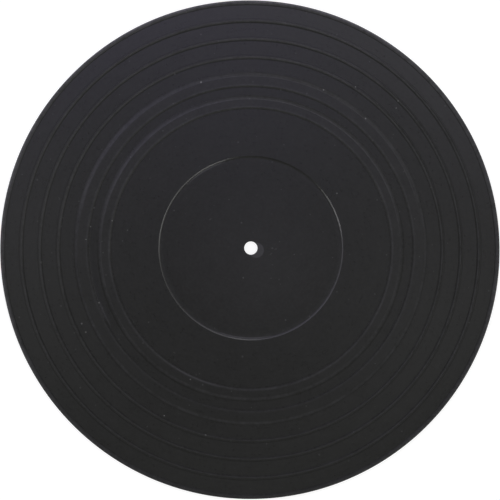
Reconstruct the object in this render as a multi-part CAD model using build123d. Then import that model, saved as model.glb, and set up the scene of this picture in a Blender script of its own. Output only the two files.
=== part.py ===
from build123d import *
from math import cos, radians, tan
import os

# Turntable mat: one moulded rubber disc that lies loose on a record player's platter, round its spindle.
# Millimetres and degrees. The origin is on the axis of the spindle hole, at the flat underside. +Z is up,
# towards the record.

# Whole mat
mat_diameter = 295.0
field_thickness = 3.0

# Spindle hole, with a small chamfer at its mouth
hole_diameter = 7.85
hole_chamfer = 0.3

# Round recess that clears the thick middle of a record
recess_diameter = 107.3
recess_depth = 0.8
recess_wall_width = 0.9

# Height over the field of all that the record lies on: bands, ribs and rim bead
rest_height = 0.5

# Two flat-topped bands under the edge of a small record, steeper on the inside than on the outside
inner_band_foot_diameter = 165.0
inner_band_width = 8.2
outer_band_width = 8.9
ring_between_bands = 4.8
band_inner_slope = 1.0
band_outer_slope = 2.3
band_shoulder_round = 3.0

# Ribs with a round crest, one pitch apart, counted inwards from the rim bead, which is the last of them
rib_pitch = 10.87
rib_flank_angle = 25.0
rib_crest_round = 0.4
rim_bead_inset = 1.5
least_ring_before_ribs = 5.0

# Radii and heights that follow from the sizes above
mat_r = mat_diameter / 2
hole_r = hole_diameter / 2
recess_r = recess_diameter / 2
inner_band_r = inner_band_foot_diameter / 2
outer_band_r = inner_band_r + inner_band_width + ring_between_bands
bead_r = mat_r - rim_bead_inset
recess_floor_z = field_thickness - recess_depth
rest_z = field_thickness + rest_height

# A rib's two flanks would meet at an apex, which its round crest cuts down to the height of the bands
rib_slope = tan(radians(rib_flank_angle))
rib_apex_z = rest_z + rib_crest_round * (1 / cos(radians(rib_flank_angle)) - 1)
rib_half_width = (rib_apex_z - field_thickness) / rib_slope

# The lists below give the half section's corners from the axis out, each as (radius, height, rounding)


def band_corners(foot_r, width):
    """One raised band with its inner foot at foot_r."""
    end_r = foot_r + width
    return [
        (foot_r, field_thickness, 0),
        (foot_r + band_inner_slope, rest_z, 0),
        (end_r - band_outer_slope, rest_z, band_shoulder_round),
        (end_r, field_thickness, 0),
    ]


def rib_corners(crest_r):
    """One rib with its crest at crest_r."""
    return [
        (crest_r - rib_half_width, field_thickness, 0),
        (crest_r, rib_apex_z, rib_crest_round),
        (crest_r + rib_half_width, field_thickness, 0),
    ]


def rib_radii():
    """Crest radii of the ribs that have room between the bands and the rim bead, from the innermost out."""
    room = bead_r - outer_band_r - outer_band_width - least_ring_before_ribs
    return [bead_r - step * rib_pitch for step in range(int(room / rib_pitch), 0, -1)]


def rim_corners():
    """The rim bead, which is a rib whose outer flank ends at the mat's side, and the side down to the underside."""
    return [
        (bead_r - rib_half_width, field_thickness, 0),
        (bead_r, rib_apex_z, rib_crest_round),
        (mat_r, rib_apex_z - rim_bead_inset * rib_slope, 0),
        (mat_r, 0, 0),
    ]


def section_corners():
    """The whole half section, from the foot of the spindle hole, over the record side and round the rim."""
    corners = [
        (hole_r, 0, 0),
        (hole_r, recess_floor_z - hole_chamfer, 0),
        (hole_r + hole_chamfer, recess_floor_z, 0),
        (recess_r, recess_floor_z, 0),
        (recess_r + recess_wall_width, field_thickness, 0),
    ]
    corners += band_corners(inner_band_r, inner_band_width)
    corners += band_corners(outer_band_r, outer_band_width)
    for crest_r in rib_radii():
        corners += rib_corners(crest_r)
    return corners + rim_corners()


def rubber_mat():
    """The mat: its half section, turned once round the axis of the spindle hole."""
    corners = section_corners()
    points = [(radius, height) for radius, height, rounding in corners]
    roundings = [rounding for radius, height, rounding in corners]
    outline = FilletPolyline(*points, radius=roundings, close=True)
    return revolve(Plane.XZ * make_face(outline.edges()), Axis.Z)


os.makedirs("parts", exist_ok=True)
export_step(rubber_mat(), "parts/rubber_mat.step")
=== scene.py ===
from math import atan2, ceil, cos, pi, radians, sin, tan

import bpy
from mathutils import Matrix, Vector

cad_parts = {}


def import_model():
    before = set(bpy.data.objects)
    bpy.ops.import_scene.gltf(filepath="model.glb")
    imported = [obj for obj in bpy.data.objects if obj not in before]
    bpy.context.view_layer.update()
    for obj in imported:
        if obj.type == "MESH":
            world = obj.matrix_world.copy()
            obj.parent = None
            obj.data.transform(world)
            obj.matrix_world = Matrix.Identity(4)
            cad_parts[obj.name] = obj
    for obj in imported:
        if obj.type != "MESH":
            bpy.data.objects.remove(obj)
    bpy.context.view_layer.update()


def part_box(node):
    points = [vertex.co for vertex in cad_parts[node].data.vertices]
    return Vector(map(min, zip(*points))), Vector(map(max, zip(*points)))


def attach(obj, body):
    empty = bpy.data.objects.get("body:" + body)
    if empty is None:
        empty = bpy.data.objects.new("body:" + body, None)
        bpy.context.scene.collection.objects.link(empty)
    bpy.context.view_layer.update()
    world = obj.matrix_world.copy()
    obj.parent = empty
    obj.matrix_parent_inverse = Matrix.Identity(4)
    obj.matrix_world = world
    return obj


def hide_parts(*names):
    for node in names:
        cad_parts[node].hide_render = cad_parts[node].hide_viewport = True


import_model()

# Dressing for a black moulded rubber turntable mat. Metres and degrees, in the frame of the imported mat: the
# origin is at the spindle hole's foot, +Z is up, towards the record, and +Y is the photograph's upward side.

MM = 0.001
MAT_NODE = "rubber_mat"

# The mat's section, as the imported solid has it
mat_low, mat_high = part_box(MAT_NODE)
MAT_R = min(mat_high.x, mat_high.y, -mat_low.x, -mat_low.y)
REST_Z = mat_high.z
REST_HEIGHT = 0.5 * MM
FIELD_Z = REST_Z - REST_HEIGHT
HOLE_R = 3.925 * MM
RECESS_R = 53.65 * MM
RECESS_DEPTH = 0.8 * MM
RECESS_Z = FIELD_Z - RECESS_DEPTH
RECESS_WALL = 0.9 * MM
INNER_BAND_R = 82.5 * MM
INNER_BAND_WIDTH = 8.2 * MM
RING_BETWEEN_BANDS = 4.8 * MM
OUTER_BAND_R = INNER_BAND_R + INNER_BAND_WIDTH + RING_BETWEEN_BANDS
OUTER_BAND_WIDTH = 8.9 * MM
BAND_INNER_SLOPE = 1.0 * MM
BAND_OUTER_SLOPE = 2.3 * MM
BEAD_INSET = 1.5 * MM
BEAD_R = MAT_R - BEAD_INSET
RIB_PITCH = 10.87 * MM
RIB_COUNT = 3

# The ribs' flanks are a little steeper here than on the solid
RIB_FLANK = radians(28)
RIB_SLOPE = tan(RIB_FLANK)

# Each ring of field outside the bands falls a little outwards, the outermost most: (degrees, half its width
# in millimetres)
RING_LEANS = ((0.5, 3.6), (1.1, 4.05), (1.7, 4.05), (2.4, 4.05))
RING_FALLS = [tan(radians(lean)) * half_width * MM for lean, half_width in RING_LEANS]

# A thin flash of rubber fills the crease at the outer band's inner foot along one stretch, in degrees. The
# section has a point at each of its stations, so that it can rise there
FLASH_R = OUTER_BAND_R
FLASH_REACH = 0.8 * MM
FLASH_HEIGHT = 0.13 * MM
FLASH_FROM, FLASH_TO, FLASH_FADE = 172, 208, 3
FLASH_STATIONS = [FLASH_R + step * MM for step in (-0.7, -0.45, -0.2, 0.25, 0.5)]

# Roundings of the moulding's corners
SHOULDER_ROUND = 3 * MM
CREST_ROUND = 0.3 * MM
RIM_ROUND = 0.5 * MM
EDGE_ROUND = 0.15 * MM
RECESS_COVE = 1.0 * MM
CREASE_ROUND = 0.15 * MM
HOLE_ROUND = 0.35 * MM

# A rib's two flanks would meet at an apex, which its round crest cuts down to the height of the bands
RIB_APEX_Z = REST_Z + CREST_ROUND * (1 / cos(RIB_FLANK) - 1)

# Fineness of the turned mesh: its sides, the widest step along a rounding, and how far from the rounding
# the next point lies
TURN_STEPS = 480
ARC_STEP = radians(9)
HOLDING_LOOP = 0.06 * MM

# The rubber's tone, and how much of its mottle, speckle and streaks, each about 0.5, is added to it
RUBBER_TONE = 0.002
MOTTLE_TONE = 0.004
SPECKLE_TONE = 0.007
STREAK_TONE = 0.005

# Its roughness, with what mottle, speckle and dust add to it, its sheen and its grain
RUBBER_ROUGHNESS = 0.225
MOTTLE_ROUGHNESS = 0.04
SPECKLE_ROUGHNESS = 0.03
DUST_ROUGHNESS = 0.5
SHEEN = 0.3
GRAIN_DEPTH = 0.02 * MM
GRAIN_STRENGTH = 0.2

# How patchy the wear and the painted highlights on the rings are: mottle and speckle together, times the
# first and plus the second, come to about 1
PATCHY_GAIN = 1.6
PATCHY_SHIFT = -0.6

# Wear, dust, painted highlights and painted shade fade out below this height, so the underside has none
FADE_HEIGHT = 1.5 * MM

# Tones that wear together with the painted highlights, and dust, turn the black rubber towards
WEAR_AND_HIGHLIGHT_TONE = (0.06, 0.0585, 0.065, 1)
DUST_TONE = (0.3, 0.3, 0.3, 1)

# Lighter rings, partly wear on the crests, edges and rim and partly painted highlight where these catch the
# light, the rim's most: (radius, half width in full, fade beside it, strength, lean), the lengths in
# millimetres. The lean makes a ring stronger on the +Y side and weaker on the other, which paints the side
# where the light falls lighter
WEAR_AND_GLINT_RINGS = (
    (52.9, 0.3, 2.0, 0.06, -0.4),
    (83.6, 0.2, 0.8, 0.21, -0.1),
    (85.95, 1.9, 1.1, 0.035, 1.0),
    (89.0, 0.3, 0.8, 0.2, 0.0),
    (96.6, 0.2, 0.8, 0.15, 0.35),
    (99.3, 2.2, 1.2, 0.035, 1.0),
    (103.1, 0.3, 0.8, 0.23, -0.05),
    (113.2, 0.1, 0.55, 0.24, 0.45),
    (124.05, 0.1, 0.55, 0.24, 0.5),
    (134.9, 0.1, 0.55, 0.255, 0.45),
    (145.7, 0.4, 0.6, 0.35, 0.7),
    (147.0, 0.3, 0.6, 0.5, 0.6),
)

# Painted shade: creases at the feet of the ribs, bands and bead darkened towards black, in the same terms, so
# the lean puts more of this shade on the +Y side
CREASE_SHADE_RINGS = (
    (82.2, 0.15, 0.4, 0.2, 0.1),
    (90.8, 0.15, 0.5, 0.1, 0.8),
    (95.35, 0.15, 0.4, 0.2, 0.3),
    (104.9, 0.15, 0.5, 0.12, 0.0),
    (112.15, 0.1, 0.45, 0.4, 0.7),
    (114.7, 0.1, 0.45, 0.45, 0.0),
    (123.05, 0.1, 0.45, 0.37, 0.65),
    (125.5, 0.1, 0.45, 0.5, 0.0),
    (133.95, 0.1, 0.45, 0.32, 0.6),
    (136.4, 0.1, 0.45, 0.55, 0.0),
    (144.8, 0.1, 0.45, 0.36, 0.6),
)

# Light arcs: (radius, half width in full, fade beside it, strength, azimuth of its middle, half its length in
# degrees). A sliver at the end of the flash, a painted highlight along a stretch of the inner band's edge and
# two painted highlights on the recess's wall, where the light glints
LIGHT_ARCS = (
    (94.45, 0.05, 0.5, 0.35, 204.5, 5.5),
    (83.4, 0.15, 0.6, 0.22, 246.0, 18.0),
    (53.2, 0.1, 0.45, 0.8, 121.0, 16.0),
    (53.1, 0.1, 0.4, 0.75, 265.0, 20.0),
)

# Lighter patches: (x, y, radius, soft edge, strength), the lengths in millimetres. The first is a painted
# soft highlight over the recess's floor, and the second a mark beside the spindle hole
LIGHT_PATCHES = (
    (6, -10, 53, 53, 0.12),
    (3.1, -1.3, 4.7, 0.4, 0.5),
)

# The larger specks of dust: (x, y, radius, strength), the lengths in millimetres
DUST_SPECKS = (
    (-50.9, -98.7, 0.35, 0.78),
    (43.1, 94.0, 0.45, 0.58),
    (-97.1, 4.7, 0.4, 0.42),
    (68.0, 77.0, 0.5, 0.54),
    (-29.6, 98.2, 0.65, 0.44),
    (62.1, 95.9, 0.45, 0.4),
    (-99.4, -44.8, 0.6, 0.28),
    (-35.6, -77.5, 0.5, 0.26),
    (-89.3, -32.5, 0.6, 0.3),
    (86.3, 83.4, 0.45, 0.32),
    (-97.0, -49.8, 0.6, 0.25),
    (-94.5, 12.3, 0.5, 0.22),
    (-81.8, 15.8, 0.5, 0.24),
    (50.9, 32.4, 0.6, 0.23),
    (-72.8, 10.2, 0.45, 0.16),
    (87.4, 87.6, 0.5, 0.26),
    (-26.6, -110.0, 0.6, 0.2),
)

# The photograph's camera: how far it stands off, how far it leans off the axis and to which side, what it is
# aimed at, and its focal length in pixels of the picture
CAMERA_DISTANCE = 1.3185
CAMERA_TILT = radians(4.304)
CAMERA_TURN = radians(-29.39)
CAMERA_AIM = Vector((-0.46, -1.08, 0)) * MM
FOCAL_PIXELS = 2230.2
PICTURE_PIXELS = 500
SENSOR_WIDTH = 36
CLIP_START = 0.01

# Studio: how far off the lights stand, how many degrees the widest of them takes, and the even light around
LIGHT_DISTANCE = 1.5
WIDEST_BOX = 31
STUDIO_LEVEL = 0.285
STUDIO_COLOUR = (1.02, 1.04, 0.94, 1)

# Heights that more than one bank of lights has, as its lower and its upper edge in degrees over the floor
LOW = (3, 11)
SECOND = (11, 22)
OVER = (58, 70)
HIGH = (70, 82)

# Tints of the lights at the photograph's top and left, from the faintest to the deepest
FAINT_VIOLET = (0.97, 0.94, 1.09)
PALE_VIOLET = (0.95, 0.92, 1.13)
SOFT_VIOLET = (0.95, 0.9, 1.15)
FULL_VIOLET = (0.9, 0.83, 1.27)
DEEP_VIOLET = (0.82, 0.71, 1.47)

# The floor: half its width, its paint and how white it glows to the camera
FLOOR_HALF = 3.0
FLOOR_PAINT = (0.35, 0.35, 0.35, 1)
FLOOR_GLOW = 0.8


def band_corners(foot_r, width, end_z=FIELD_Z):
    """Corners of one raised band, as (radius, height, rounding)."""
    end_r = foot_r + width
    return [
        (foot_r, FIELD_Z, CREASE_ROUND),
        (foot_r + BAND_INNER_SLOPE, REST_Z, EDGE_ROUND),
        (end_r - BAND_OUTER_SLOPE, REST_Z, SHOULDER_ROUND),
        (end_r, end_z, CREASE_ROUND),
    ]


def rib_corners(crest_r, inner_z, outer_z):
    """Corners of one rib that stands between two rings of field, at their heights."""
    return [
        (crest_r - (RIB_APEX_Z - inner_z) / RIB_SLOPE, inner_z, CREASE_ROUND),
        (crest_r, RIB_APEX_Z, CREST_ROUND),
        (crest_r + (RIB_APEX_Z - outer_z) / RIB_SLOPE, outer_z, CREASE_ROUND),
    ]


def section_corners():
    """Corners of the half section, up the hole, out over the record side and back along the underside."""
    corners = [
        (HOLE_R, 0, CREASE_ROUND),
        (HOLE_R, RECESS_Z, HOLE_ROUND),
        (RECESS_R, RECESS_Z, RECESS_COVE),
        (RECESS_R + RECESS_WALL, FIELD_Z, EDGE_ROUND),
    ]
    corners += band_corners(INNER_BAND_R, INNER_BAND_WIDTH)
    corners += band_corners(OUTER_BAND_R, OUTER_BAND_WIDTH, FIELD_Z + RING_FALLS[0])
    for i in range(RIB_COUNT):
        crest_r = BEAD_R - (RIB_COUNT - i) * RIB_PITCH
        corners += rib_corners(crest_r, FIELD_Z - RING_FALLS[i], FIELD_Z + RING_FALLS[i + 1])
    corners += rib_corners(BEAD_R, FIELD_Z - RING_FALLS[-1], FIELD_Z)[:2]
    corners.append((MAT_R, RIB_APEX_Z - (MAT_R - BEAD_R) * RIB_SLOPE, RIM_ROUND))
    corners.append((MAT_R, 0, CREASE_ROUND))
    return corners


def rounded_corner(before, corner, after):
    """Points of one corner's arc, with a holding loop before and after it on the straight stretches."""
    at = Vector(corner[:2])
    rounding = corner[2]
    back = (Vector(before[:2]) - at).normalized()
    ahead = (Vector(after[:2]) - at).normalized()
    turn = pi - back.angle(ahead)
    reach = rounding * tan(turn / 2)
    centre = at + (back + ahead).normalized() * (rounding / cos(turn / 2))
    start = at + back * reach - centre
    side = 1 if start.cross(at + ahead * reach - centre) > 0 else -1
    steps = max(2, ceil(turn / ARC_STEP))
    first = atan2(start.y, start.x)
    arc = []
    for i in range(steps + 1):
        angle = first + side * turn * i / steps
        arc.append(centre + rounding * Vector((cos(angle), sin(angle))))
    return [arc[0] + back * HOLDING_LOOP, *arc, arc[-1] + ahead * HOLDING_LOOP]


def section_points():
    """The half section as a closed run of points (radius, height)."""
    corners = section_corners()
    points = []
    for i, corner in enumerate(corners):
        after = corners[(i + 1) % len(corners)]
        points += rounded_corner(corners[i - 1], corner, after)
        width = after[0] - corner[0]
        if width > 0:
            stations = [r for r in FLASH_STATIONS if points[-1].x < r < after[0]]
            points += [Vector(corner[:2]).lerp(after[:2], (r - corner[0]) / width) for r in stations]
    return points


def smooth_step(value):
    """0 below 0, 1 above 1, and a smooth rise between them."""
    value = max(0.0, min(1.0, value))
    return value * value * (3 - 2 * value)


def flash_lift(radius, azimuth):
    """How far the flash lifts the surface at a radius and an azimuth in degrees."""
    across = smooth_step(1 - abs(radius - FLASH_R) / FLASH_REACH)
    along = smooth_step((azimuth - FLASH_FROM) / FLASH_FADE) * smooth_step((FLASH_TO - azimuth) / FLASH_FADE)
    return FLASH_HEIGHT * across * along


def turned_mesh(name, section):
    """A mesh of the closed section turned round the Z axis."""
    vertices = []
    for i in range(TURN_STEPS):
        turn = 2 * pi * i / TURN_STEPS
        for point in section:
            lift = flash_lift(point.x, 360 * i / TURN_STEPS) if point.y > RECESS_Z else 0
            vertices.append((point.x * cos(turn), point.x * sin(turn), max(0.0, point.y + lift)))
    count = len(section)
    faces = []
    for i in range(TURN_STEPS):
        here, there = i * count, (i + 1) % TURN_STEPS * count
        for j in range(count):
            k = (j + 1) % count
            faces.append((here + j, there + j, there + k, here + k))
    mesh = bpy.data.meshes.new(name)
    mesh.from_pydata(vertices, [], faces)
    mesh.shade_smooth()
    mesh.update()
    return mesh


def add_object(name, data):
    """Links a new object to the scene."""
    obj = bpy.data.objects.new(name, data)
    bpy.context.scene.collection.objects.link(obj)
    return obj


class Nodes:
    """A small helper that adds nodes to a tree and joins them by socket name."""

    def __init__(self, tree):
        self.tree = tree

    def give(self, socket, value):
        """Links an input to another node's output, or sets it to a plain value."""
        if isinstance(value, bpy.types.NodeSocket):
            self.tree.links.new(value, socket)
        else:
            socket.default_value = value

    def add(self, kind, values=None, **settings):
        """A node with its settings and with values for its inputs, by name or by number."""
        node = self.tree.nodes.new(kind)
        for name, value in settings.items():
            setattr(node, name, value)
        for name, value in (values or {}).items():
            self.give(node.inputs[name], value)
        return node

    def math(self, operation, *values, clamp=False):
        """The outcome of a sum on numbers."""
        node = self.add("ShaderNodeMath", dict(enumerate(values)), operation=operation, use_clamp=clamp)
        return node.outputs[0]

    def vector(self, operation, *values):
        """The vector that comes of a sum on vectors."""
        node = self.add("ShaderNodeVectorMath", dict(enumerate(values)), operation=operation)
        return node.outputs["Vector"]

    def measure(self, operation, *values):
        """The number that comes of a sum on vectors, such as a length."""
        node = self.add("ShaderNodeVectorMath", dict(enumerate(values)), operation=operation)
        return node.outputs["Value"]

    def flat(self, place):
        """A place with its height taken out."""
        return self.vector("MULTIPLY", place, (1, 1, 0))

    def group(self, tree, **values):
        """A node of a group, with values for its inputs. An underscore stands for a space in their names."""
        node = self.add("ShaderNodeGroup", node_tree=tree)
        for name, value in values.items():
            self.give(node.inputs[name.replace("_", " ")], value)
        return node


def new_group(name, inputs, outputs):
    """An empty node group with named sockets, and its helper, its input node and its output node."""
    tree = bpy.data.node_groups.new(name, "ShaderNodeTree")
    for label, kind, value in inputs:
        socket = tree.interface.new_socket(name=label, in_out="INPUT", socket_type="NodeSocket" + kind)
        if value is not None:
            socket.default_value = value
    for label, kind in outputs:
        tree.interface.new_socket(name=label, in_out="OUTPUT", socket_type="NodeSocket" + kind)
    nodes = Nodes(tree)
    return tree, nodes, nodes.add("NodeGroupInput"), nodes.add("NodeGroupOutput")


def moulded_grain_group():
    """Fine grain of moulded rubber: a height for bump, a fine speckle and a broad mottle, all about 0.5."""
    tree, nodes, given, out = new_group(
        "moulded_grain",
        [
            ("Place", "Vector", None),
            ("Grain Size", "Float", 0.35 * MM),
            ("Speckle Size", "Float", 1.8 * MM),
            ("Mottle Size", "Float", 9 * MM),
        ],
        [("Height", "Float"), ("Speckle", "Float"), ("Mottle", "Float")],
    )
    for size, output, detail in (
        ("Grain Size", "Height", 3.0),
        ("Speckle Size", "Speckle", 1.0),
        ("Mottle Size", "Mottle", 3.0),
    ):
        noise = nodes.add(
            "ShaderNodeTexNoise",
            {
                "Vector": given.outputs["Place"],
                "Scale": nodes.math("DIVIDE", 1.0, given.outputs[size]),
                "Detail": detail,
                "Roughness": 0.6,
            },
        )
        tree.links.new(noise.outputs[0], out.inputs[output])
    return tree


def turned_streaks_group():
    """Faint streaks that run round the axis, as cleaning and handling leave them, about 0.5."""
    tree, nodes, given, out = new_group(
        "turned_streaks",
        [("Place", "Vector", None), ("Streaks Round", "Float", 9.0), ("Streak Width", "Float", 1.2 * MM)],
        [("Streaks", "Float")],
    )
    flat = nodes.flat(given.outputs["Place"])
    radius = nodes.measure("LENGTH", flat)
    round_axis = nodes.add(
        "ShaderNodeVectorMath",
        {0: nodes.vector("NORMALIZE", flat), "Scale": given.outputs["Streaks Round"]},
        operation="SCALE",
    )
    rings = nodes.math("DIVIDE", radius, given.outputs["Streak Width"])
    from_axis = nodes.add("ShaderNodeCombineXYZ", {2: rings})
    stretched = nodes.vector("ADD", round_axis.outputs[0], from_axis.outputs[0])
    noise = nodes.add("ShaderNodeTexNoise", {"Vector": stretched, "Scale": 1.0, "Detail": 2.0})
    tree.links.new(noise.outputs[0], out.inputs["Streaks"])
    return tree


def axis_ring_group():
    # Used for rings of wear, of painted highlight and of painted shade alike
    """A ring round the axis, added to the mask that comes in.

    Flat is half the width in full and Soft the fade beside it. Lean makes it stronger on the +Y side, or
    weaker where it is negative. Patchy, about 1, breaks it up.
    """
    tree, nodes, given, out = new_group(
        "axis_ring",
        [
            ("Place", "Vector", None),
            ("Ring Radius", "Float", 100 * MM),
            ("Flat", "Float", 0.1 * MM),
            ("Soft", "Float", 0.7 * MM),
            ("Strength", "Float", 0.2),
            ("Lean", "Float", 0.0),
            ("Patchy", "Float", 1.0),
            ("Under", "Float", 0.0),
        ],
        [("Mask", "Float")],
    )
    flat = nodes.flat(given.outputs["Place"])
    toward = nodes.measure("DOT_PRODUCT", nodes.vector("NORMALIZE", flat), (0, 1, 0))
    lean = nodes.math("MULTIPLY_ADD", toward, given.outputs["Lean"], 1.0)
    radius = nodes.measure("LENGTH", flat)
    off = nodes.math("ABSOLUTE", nodes.math("SUBTRACT", radius, given.outputs["Ring Radius"]))
    across = nodes.add(
        "ShaderNodeMapRange",
        {
            "Value": off,
            "From Min": nodes.math("ADD", given.outputs["Flat"], given.outputs["Soft"]),
            "From Max": given.outputs["Flat"],
            "To Min": 0.0,
            "To Max": given.outputs["Strength"],
        },
        interpolation_type="SMOOTHSTEP",
    )
    mark_amount = nodes.math("MULTIPLY", nodes.math("MULTIPLY", across.outputs[0], lean), given.outputs["Patchy"])
    tree.links.new(nodes.math("ADD", mark_amount, given.outputs["Under"]), out.inputs["Mask"])
    return tree


def scattered_dust_group():
    """Dust specks scattered at random: each cell holds one speck or none, of its own size and brightness.

    A speck is half to one and a half times the given size, and few come near the given strength.
    """
    tree, nodes, given, out = new_group(
        "scattered_dust",
        [
            ("Place", "Vector", None),
            ("Spacing", "Float", 8 * MM),
            ("Speck Size", "Float", 0.6 * MM),
            ("Share", "Float", 0.6),
            ("Strength", "Float", 0.08),
        ],
        [("Mask", "Float")],
    )
    scale = nodes.math("DIVIDE", 1.0, given.outputs["Spacing"])
    cells = nodes.add(
        "ShaderNodeTexVoronoi",
        {"Vector": given.outputs["Place"], "Scale": scale, "Randomness": 1.0},
        voronoi_dimensions="2D",
    )
    split = nodes.add("ShaderNodeSeparateColor", {"Color": cells.outputs["Color"]})
    held = nodes.math("LESS_THAN", split.outputs[0], given.outputs["Share"])
    size = nodes.math("MULTIPLY", given.outputs["Speck Size"], nodes.math("ADD", 0.5, split.outputs[1]))
    reach = nodes.math("DIVIDE", size, given.outputs["Spacing"])
    inside = nodes.math("SUBTRACT", 1.0, nodes.math("DIVIDE", cells.outputs["Distance"], reach), clamp=True)
    bright = nodes.math("MULTIPLY", nodes.math("POWER", split.outputs[2], 3.0), given.outputs["Strength"])
    mask = nodes.math("MULTIPLY", nodes.math("MULTIPLY", inside, held), bright)
    tree.links.new(mask, out.inputs["Mask"])
    return tree


def round_mark_group():
    """One round light mark at a place, added to the mask that comes in."""
    tree, nodes, given, out = new_group(
        "round_mark",
        [
            ("Place", "Vector", None),
            ("Centre", "Vector", None),
            ("Radius", "Float", 0.4 * MM),
            ("Soft Edge", "Float", 0.2 * MM),
            ("Strength", "Float", 1.0),
            ("Under", "Float", 0.0),
        ],
        [("Mask", "Float")],
    )
    away = nodes.measure("DISTANCE", nodes.flat(given.outputs["Place"]), given.outputs["Centre"])
    inside = nodes.math("SUBTRACT", given.outputs["Radius"], away)
    edge = nodes.math("DIVIDE", inside, given.outputs["Soft Edge"], clamp=True)
    mark = nodes.math("MULTIPLY", edge, given.outputs["Strength"])
    tree.links.new(nodes.math("ADD", mark, given.outputs["Under"]), out.inputs["Mask"])
    return tree


def camera():
    """The photograph's camera: almost straight above, a little towards the lower left."""
    lean = sin(CAMERA_TILT)
    place = Vector((lean * sin(CAMERA_TURN), -lean * cos(CAMERA_TURN), cos(CAMERA_TILT))) * CAMERA_DISTANCE
    data = bpy.data.cameras.new("photo_camera")
    data.sensor_width = SENSOR_WIDTH
    data.lens = SENSOR_WIDTH * FOCAL_PIXELS / PICTURE_PIXELS
    data.clip_start = CLIP_START
    obj = add_object("photo_camera", data)
    forward = (CAMERA_AIM - place).normalized()
    right = forward.cross(Vector((0, 1, 0))).normalized()
    up = right.cross(forward)
    obj.location = place
    obj.rotation_euler = Matrix((right, up, -forward)).transposed().to_euler()
    bpy.context.scene.camera = obj


def softbox(name, azimuth, elevation, width, height, level, colour):
    """A flat soft light aimed at the mat's middle. Azimuth 0 is +X, and 90 is +Y, up in the photograph."""
    data = bpy.data.lights.new(name, "AREA")
    data.shape = "RECTANGLE"
    data.size = width
    data.size_y = height
    data.color = colour
    data.energy = level * pi * width * height
    obj = add_object(name, data)
    across, over = radians(azimuth), radians(elevation)
    place = Vector((cos(over) * cos(across), cos(over) * sin(across), sin(over))) * LIGHT_DISTANCE
    obj.location = place
    obj.rotation_euler = place.to_track_quat("Z", "Y").to_euler()


def bank(name, sides, heights, level, colour=(1, 1, 1)):
    """A row of softboxes side by side, between two azimuths and between two elevations, in degrees."""
    count = ceil((sides[1] - sides[0]) / WIDEST_BOX)
    step = (sides[1] - sides[0]) / count
    elevation = (heights[0] + heights[1]) / 2
    width = 2 * LIGHT_DISTANCE * cos(radians(elevation)) * tan(radians(step / 2))
    height = 2 * LIGHT_DISTANCE * tan(radians((heights[1] - heights[0]) / 2))
    for i in range(count):
        softbox(f"{name}_{i + 1}", sides[0] + (i + 0.5) * step, elevation, width, height, level, colour)


def lights():
    """Soft studio light: long low banks round most of the mat, dimmer ones above them, others overhead."""
    bank("low_lower_right", (-50, 7.5), LOW, 5.9)
    bank("low_right_glint", (-72, -50), LOW, 11)
    bank("low_right", (7.5, 52.5), LOW, 2.3)
    bank("low_upper_right", (52.5, 76), LOW, 2.5)
    bank("low_top", (76, 92), LOW, 4.2)
    bank("low_upper_left", (92, 187.5), LOW, 1.35, PALE_VIOLET)
    bank("low_lower_left", (187.5, 217.5), LOW, 12.5)
    bank("second_top", (52.5, 142.5), SECOND, 2.2, SOFT_VIOLET)
    bank("second_upper_left", (142.5, 202.5), SECOND, 1.75, FAINT_VIOLET)
    bank("second_left", (142.5, 187.5), (22, 34), 0.45)
    bank("front", (187.5, 367.5), (34, 46), 0.74)
    bank("upper_top", (7.5, 127.5), (46, 58), 0.17)
    bank("upper_front", (255, 345), (56, 70), 0.13)
    bank("over_top_right", (22.5, 92.5), OVER, 1.72, FAINT_VIOLET)
    bank("over_top_left", (92.5, 137.5), OVER, 2.05, FULL_VIOLET)
    bank("over_upper_left", (137.5, 162.5), OVER, 1.6, PALE_VIOLET)
    bank("high_top", (-7.5, 172.5), HIGH, 0.24)
    bank("spot_top", (67.5, 97.5), HIGH, 0.75, DEEP_VIOLET)
    bank("over_right", (-22.5, 10), (58, 82), 0.58)
    bank("over_left", (147.5, 212.5), HIGH, 0.62)
    bank("over_front", (232.5, 322.5), HIGH, 0.34)


def world():
    """White to the camera, and a dim even studio to everything else."""
    shade = bpy.data.worlds.new("studio")
    bpy.context.scene.world = shade
    shade.use_nodes = True
    shade.node_tree.nodes.clear()
    nodes = Nodes(shade.node_tree)
    seen = nodes.add("ShaderNodeLightPath").outputs["Is Camera Ray"]
    white = nodes.add("ShaderNodeBackground", {"Color": (1, 1, 1, 1), "Strength": 1.0})
    dim = nodes.add("ShaderNodeBackground", {"Color": STUDIO_COLOUR, "Strength": STUDIO_LEVEL})
    mix = nodes.add("ShaderNodeMixShader", {0: seen, 1: dim.outputs[0], 2: white.outputs[0]})
    nodes.add("ShaderNodeOutputWorld", {"Surface": mix.outputs[0]})


def new_material(name):
    """A material with no nodes yet, and the helper for its nodes."""
    material = bpy.data.materials.new(name)
    material.use_nodes = True
    material.node_tree.nodes.clear()
    return material, Nodes(material.node_tree)


def floor():
    """A plain white floor under the mat, which shows the mat's shadow."""
    mesh = bpy.data.meshes.new("floor")
    corners = [(-FLOOR_HALF, -FLOOR_HALF, 0), (FLOOR_HALF, -FLOOR_HALF, 0)]
    corners += [(FLOOR_HALF, FLOOR_HALF, 0), (-FLOOR_HALF, FLOOR_HALF, 0)]
    mesh.from_pydata(corners, [], [(0, 1, 2, 3)])
    material, nodes = new_material("white_floor")
    path = nodes.add("ShaderNodeLightPath")
    seen = nodes.math("MAXIMUM", path.outputs["Is Camera Ray"], path.outputs["Is Glossy Ray"])
    seen = nodes.math("MAXIMUM", seen, path.outputs["Is Transmission Ray"])
    paint = nodes.add("ShaderNodeBsdfDiffuse", {"Color": FLOOR_PAINT})
    strength = nodes.math("MULTIPLY", seen, FLOOR_GLOW)
    glow = nodes.add("ShaderNodeEmission", {"Color": (1, 1, 1, 1), "Strength": strength})
    both = nodes.add("ShaderNodeAddShader", {0: paint.outputs[0], 1: glow.outputs[0]})
    nodes.add("ShaderNodeOutputMaterial", {"Surface": both.outputs[0]})
    mesh.materials.append(material)
    add_object("floor", mesh)


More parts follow.
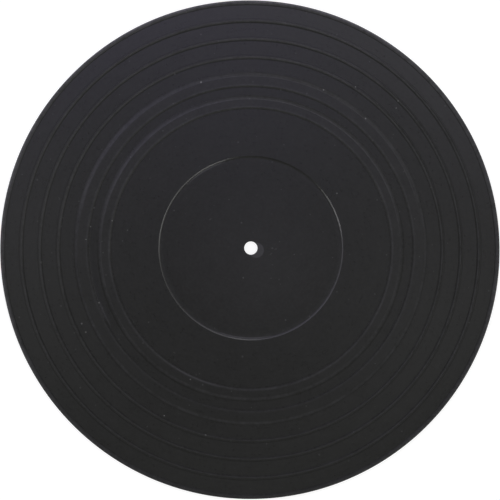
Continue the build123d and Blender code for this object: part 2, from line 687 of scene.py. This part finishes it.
def add_ring(nodes, ring, place, terms, patchy, mask):
    """One ring round the axis, in the terms of WEAR_AND_GLINT_RINGS, added to a mask."""
    ring_r, flat, soft, strength, lean = terms
    node = nodes.group(
        ring,
        Place=place,
        Ring_Radius=ring_r * MM,
        Flat=flat * MM,
        Soft=soft * MM,
        Strength=strength,
        Lean=lean,
        Patchy=patchy,
        Under=mask,
    )
    return node.outputs["Mask"]


def ring_mask(nodes, ring, rings, place, patchy):
    """The mask of a list of rings round the axis."""
    mask = 0.0
    for terms in rings:
        mask = add_ring(nodes, ring, place, terms, patchy, mask)
    return mask


def arc_mask(nodes, ring, arcs, place, mask):
    """Light arcs added to a mask: rings that show only near an azimuth, in full in the middle third."""
    outward = nodes.vector("NORMALIZE", nodes.flat(place))
    for ring_r, flat, soft, strength, azimuth, reach in arcs:
        middle = (cos(radians(azimuth)), sin(radians(azimuth)), 0)
        stretch = nodes.add(
            "ShaderNodeMapRange",
            {
                "Value": nodes.measure("DOT_PRODUCT", outward, middle),
                "From Min": cos(radians(reach)),
                "From Max": cos(radians(reach / 3)),
            },
            interpolation_type="SMOOTHSTEP",
        )
        mask = add_ring(nodes, ring, place, (ring_r, flat, soft, strength, 0.0), stretch.outputs[0], mask)
    return mask


def mark_mask(nodes, mark, marks, place, mask):
    """Round marks in the terms of LIGHT_PATCHES, added to a mask."""
    for x, y, radius, soft, strength in marks:
        node = nodes.group(
            mark,
            Place=place,
            Centre=(x * MM, y * MM, 0),
            Radius=radius * MM,
            Soft_Edge=soft * MM,
            Strength=strength,
            Under=mask,
        )
        mask = node.outputs["Mask"]
    return mask


def black_rubber():
    """Moulded black rubber with a soft satin sheen, lighter on what stands proud from wear and from painted
    highlights, with painted shade in its creases, a little dusty.
    """
    material, nodes = new_material("black_rubber")
    place = nodes.add("ShaderNodeTexCoord").outputs["Object"]
    grain = nodes.group(moulded_grain_group(), Place=place)
    mottle = grain.outputs["Mottle"]
    speckle = grain.outputs["Speckle"]
    streaks = nodes.group(turned_streaks_group(), Place=place).outputs["Streaks"]
    ring = axis_ring_group()
    mark = round_mark_group()
    height = nodes.add("ShaderNodeSeparateXYZ", {0: place}).outputs["Z"]
    record_side = nodes.math("DIVIDE", height, FADE_HEIGHT, clamp=True)

    tone = nodes.math("MULTIPLY_ADD", mottle, MOTTLE_TONE, RUBBER_TONE)
    tone = nodes.math("MULTIPLY_ADD", speckle, SPECKLE_TONE, tone)
    tone = nodes.math("MULTIPLY_ADD", streaks, STREAK_TONE, tone)
    # Painted shade: the crease rings darken the rubber's tone
    black = nodes.math("MULTIPLY", ring_mask(nodes, ring, CREASE_SHADE_RINGS, place, 1.0), record_side)
    tone = nodes.math("MULTIPLY", tone, nodes.math("SUBTRACT", 1.0, black, clamp=True))
    base = nodes.add("ShaderNodeCombineColor", {0: tone, 1: tone, 2: tone})

    # Lighter marks: partly wear and dust, partly painted highlights on edges, crests and rim, lighter towards
    # +Y, with painted glint arcs and a painted sheen on the recess's floor
    patchy = nodes.math("MULTIPLY_ADD", nodes.math("ADD", mottle, speckle), PATCHY_GAIN, PATCHY_SHIFT)
    mark_amount = ring_mask(nodes, ring, WEAR_AND_GLINT_RINGS, place, patchy)
    mark_amount = arc_mask(nodes, ring, LIGHT_ARCS, place, mark_amount)
    mark_amount = mark_mask(nodes, mark, LIGHT_PATCHES, place, mark_amount)
    mark_amount = nodes.math("MULTIPLY", mark_amount, record_side)
    wear_and_highlight_colour = nodes.add("ShaderNodeMix", {0: mark_amount, 6: base.outputs[0], 7: WEAR_AND_HIGHLIGHT_TONE}, data_type="RGBA")

    dust = nodes.group(scattered_dust_group(), Place=place).outputs["Mask"]
    specks = [(x, y, radius, radius / 2, strength) for x, y, radius, strength in DUST_SPECKS]
    dust = mark_mask(nodes, mark, specks, place, dust)
    dust = nodes.math("MULTIPLY", dust, record_side)
    colour = nodes.add("ShaderNodeMix", {0: dust, 6: wear_and_highlight_colour.outputs[2], 7: DUST_TONE}, data_type="RGBA")

    roughness = nodes.math("MULTIPLY_ADD", mottle, MOTTLE_ROUGHNESS, RUBBER_ROUGHNESS)
    roughness = nodes.math("MULTIPLY_ADD", speckle, SPECKLE_ROUGHNESS, roughness)
    roughness = nodes.math("MULTIPLY_ADD", dust, DUST_ROUGHNESS, roughness)
    bump = nodes.add(
        "ShaderNodeBump",
        {"Strength": GRAIN_STRENGTH, "Distance": GRAIN_DEPTH, "Height": grain.outputs["Height"]},
    )
    shader = nodes.add(
        "ShaderNodeBsdfPrincipled",
        {
            "Base Color": colour.outputs[2],
            "Roughness": roughness,
            "Specular IOR Level": SHEEN,
            "Normal": bump.outputs[0],
        },
    )
    nodes.add("ShaderNodeOutputMaterial", {"Surface": shader.outputs[0]})
    return material


def moulded_mat():
    """The whole mat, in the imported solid's place."""
    mesh = turned_mesh("moulded_mat", section_points())
    mesh.materials.append(black_rubber())
    mat = add_object("moulded_mat", mesh)
    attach(mat, "root")
    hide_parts(MAT_NODE)


camera()
world()
lights()
floor()
moulded_mat()
bpy.context.scene.view_settings.view_transform = "Standard"
